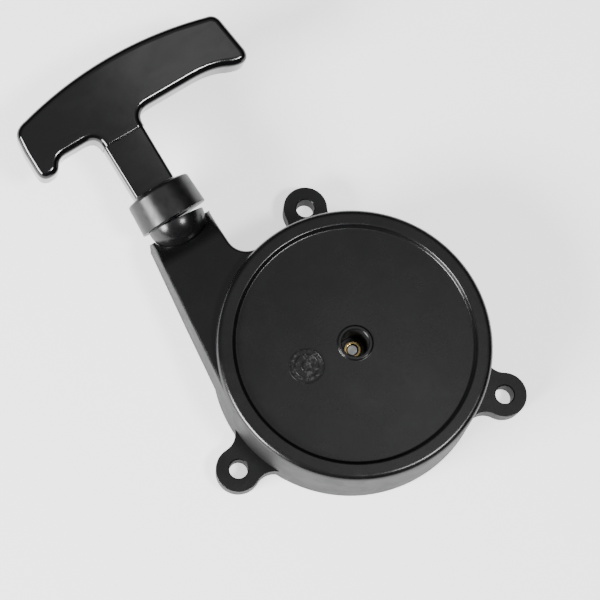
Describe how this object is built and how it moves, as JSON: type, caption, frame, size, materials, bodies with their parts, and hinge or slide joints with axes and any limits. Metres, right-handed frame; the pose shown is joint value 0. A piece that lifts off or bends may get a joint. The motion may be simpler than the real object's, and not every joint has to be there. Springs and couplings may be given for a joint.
{
  "type": "recoil starter",
  "caption": "Round recoil starter with mounting lugs, a rope arm with a guide bush, and a T-shaped pull handle on a rope wound on a spring-returned pulley.",
  "frame": {"origin": "middle of the bottom of the bounding box, on the mounting plane", "axes": "+Y along the rope's pull, from the round housing to the T handle; +Z along the crank axis, out of the closed face; +X completes the right-handed frame"},
  "size_m": [0.1128, 0.1838, 0.0353],
  "materials": {
    "housing": "satin black injection-moulded plastic",
    "grip": "glossy black injection-moulded plastic",
    "rubber": "soft black rubber",
    "bush": "satin black nylon",
    "rope": "dark braided cord with a red tracer yarn",
    "pulley": "dark grey glass-filled nylon",
    "spring_case": "dark grey moulded plastic",
    "steel": "zinc-plated steel",
    "spring_steel": "blued spring steel",
    "brass": "turned brass"
  },
  "bodies": {
    "housing": {"housing": "housing", "rope_bush": "bush", "rope_run": "rope", "spring_case": "spring_case", "spring_case_lid": "steel", "rewind_spring": "spring_steel", "case_screw_1": "steel", "case_screw_2": "steel", "post_insert": "brass", "post_screw": "steel", "retainer_washer": "steel"},
    "rope_end": {"rope_lead": "rope", "handle_knot": "rope"},
    "handle": {"handle_grip": "grip", "handle_collar": "rubber", "handle_plug": "grip"},
    "pulley": {"rope_pulley": "pulley", "rope_coil": "rope", "pulley_knot": "rope", "pawl_clip_1": "spring_steel", "pawl_clip_2": "spring_steel"},
    "pawl_1": {"pawl_1": "steel"},
    "pawl_2": {"pawl_2": "steel"},
    "friction_plate": {"friction_plate": "steel"}
  },
  "joints": [
    {"name": "handle_pull", "type": "slide", "parent": "housing", "child": "rope_end", "axis": [0, 0.9816, 0.1908], "range_m": [0, 0.75], "stiffness_N_per_m": 14, "springref_m": -0.57},
    {"name": "handle_twist", "type": "hinge", "parent": "rope_end", "child": "handle", "pos_m": [-0.02074, 0.03141, 0.01733], "axis": [0, 0.9816, 0.1908], "range_deg": [-180, 180]},
    {"name": "pulley_spin", "type": "hinge", "parent": "housing", "child": "pulley", "pos_m": [0.00706, -0.04259, 0.01], "axis": [0, 0, 1], "range_deg": [-2060, 0]},
    {"name": "pawl_1_swing", "type": "hinge", "parent": "pulley", "child": "pawl_1", "pos_m": [0.02706, -0.04259, 0.0023], "axis": [0, 0, 1], "range_deg": [0, 28]},
    {"name": "pawl_2_swing", "type": "hinge", "parent": "pulley", "child": "pawl_2", "pos_m": [-0.01294, -0.04259, 0.0023], "axis": [0, 0, 1], "range_deg": [0, 28]},
    {"name": "friction_plate_shift", "type": "hinge", "parent": "pulley", "child": "friction_plate", "pos_m": [0.00706, -0.04259, 0.0044], "axis": [0, 0, 1], "range_deg": [0, 6]}
  ],
  "couplings": [
    {"joint": "pulley_spin", "follows": "handle_pull", "rad_per_m": -47.8},
    {"joint": "pawl_2_swing", "follows": "pawl_1_swing", "ratio": 1},
    {"joint": "friction_plate_shift", "follows": "pawl_1_swing", "ratio": 0.2118}
  ]
}
